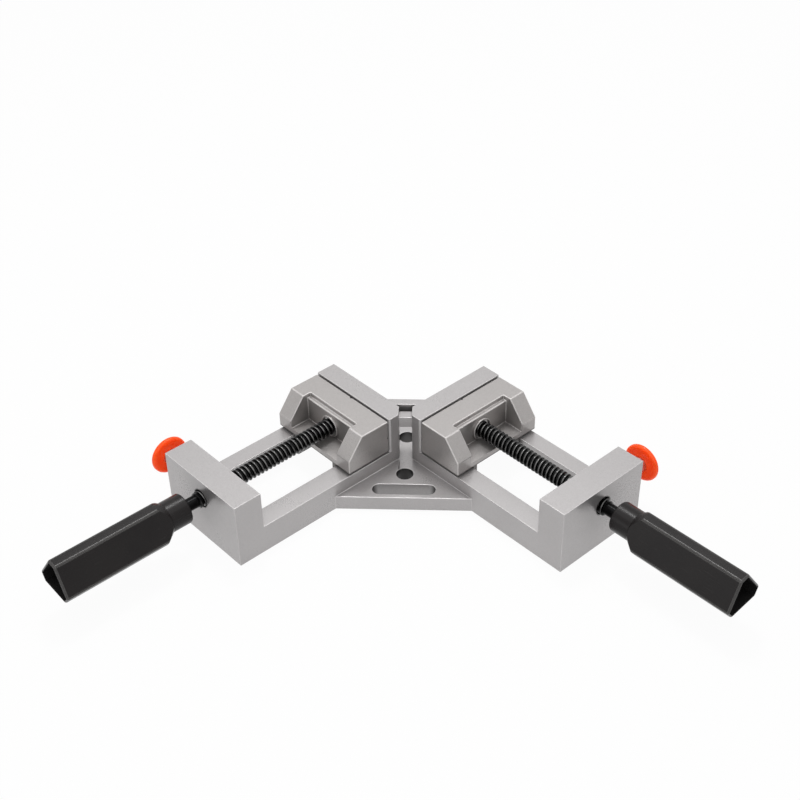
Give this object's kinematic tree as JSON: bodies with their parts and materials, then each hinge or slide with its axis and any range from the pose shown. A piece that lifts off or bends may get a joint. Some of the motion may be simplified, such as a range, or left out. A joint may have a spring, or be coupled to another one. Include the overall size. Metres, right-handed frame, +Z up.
{
  "type": "corner clamp",
  "caption": "Right-angle corner clamp: a cast frame with crossed fixed walls, a quick-release screw jaw and three-sided handle on each arm, and bench holes in the corner plate.",
  "frame": {"origin": "the corner point on the base plane, where the planes of the two fixed clamp faces meet, which is also the axis of the front bench hole", "axes": "+X along the right arm, -Y along the left arm, +Z up from the bench"},
  "size_m": [0.3132, 0.3132, 0.0445],
  "materials": {
    "casting": "satin",
    "jaw_casting": "satin",
    "steel": "zinc plated",
    "dark_steel": "oiled",
    "black_steel": "black oxide",
    "black_plastic": "satin",
    "orange_plastic": "gloss"
  },
  "bodies": {
    "frame": {"frame_casting": "casting", "left_release_spring": "steel", "right_release_spring": "steel"},
    "left_jaw": {"left_moving_jaw": "jaw_casting", "left_jaw_keeper_plate": "steel", "left_keeper_screws": "dark_steel", "left_spindle_pins": "steel", "left_thrust_washer": "steel"},
    "right_jaw": {"right_moving_jaw": "jaw_casting", "right_jaw_keeper_plate": "steel", "right_keeper_screws": "dark_steel", "right_spindle_pins": "steel", "right_thrust_washer": "steel"},
    "left_screw": {"left_spindle": "black_steel", "left_handle_grip": "black_plastic", "left_handle_screw": "steel"},
    "right_screw": {"right_spindle": "black_steel", "right_handle_grip": "black_plastic", "right_handle_screw": "steel"},
    "left_release": {"left_half_nut": "steel", "left_release_button": "orange_plastic"},
    "right_release": {"right_half_nut": "steel", "right_release_button": "orange_plastic"}
  },
  "joints": [
    {"name": "left_jaw_slide", "type": "slide", "parent": "frame", "child": "left_jaw", "axis": [0, -1, 0], "range_m": [0, 0.064]},
    {"name": "right_jaw_slide", "type": "slide", "parent": "frame", "child": "right_jaw", "axis": [1, 0, 0], "range_m": [0, 0.064]},
    {"name": "left_spindle_turn", "type": "hinge", "parent": "left_jaw", "child": "left_screw", "pos_m": [-0.0473, 0, 0.0304], "axis": [0, -1, 0], "range_deg": [0, 7681]},
    {"name": "right_spindle_turn", "type": "hinge", "parent": "right_jaw", "child": "right_screw", "pos_m": [0, 0.0473, 0.0304], "axis": [1, 0, 0], "range_deg": [0, 7681]},
    {"name": "left_release_press", "type": "slide", "parent": "frame", "child": "left_release", "axis": [1, 0, 0], "range_m": [0, 0.004], "stiffness_N_per_m": 1500, "springref_m": -0.003, "deforming": ["left_release_spring"]},
    {"name": "right_release_press", "type": "slide", "parent": "frame", "child": "right_release", "axis": [0, -1, 0], "range_m": [0, 0.004], "stiffness_N_per_m": 1500, "springref_m": -0.003, "deforming": ["right_release_spring"]}
  ],
  "couplings": [
    {"joint": "left_spindle_turn", "follows": "left_jaw_slide", "rad_per_m": 2094.4},
    {"joint": "right_spindle_turn", "follows": "right_jaw_slide", "rad_per_m": 2094.4}
  ]
}
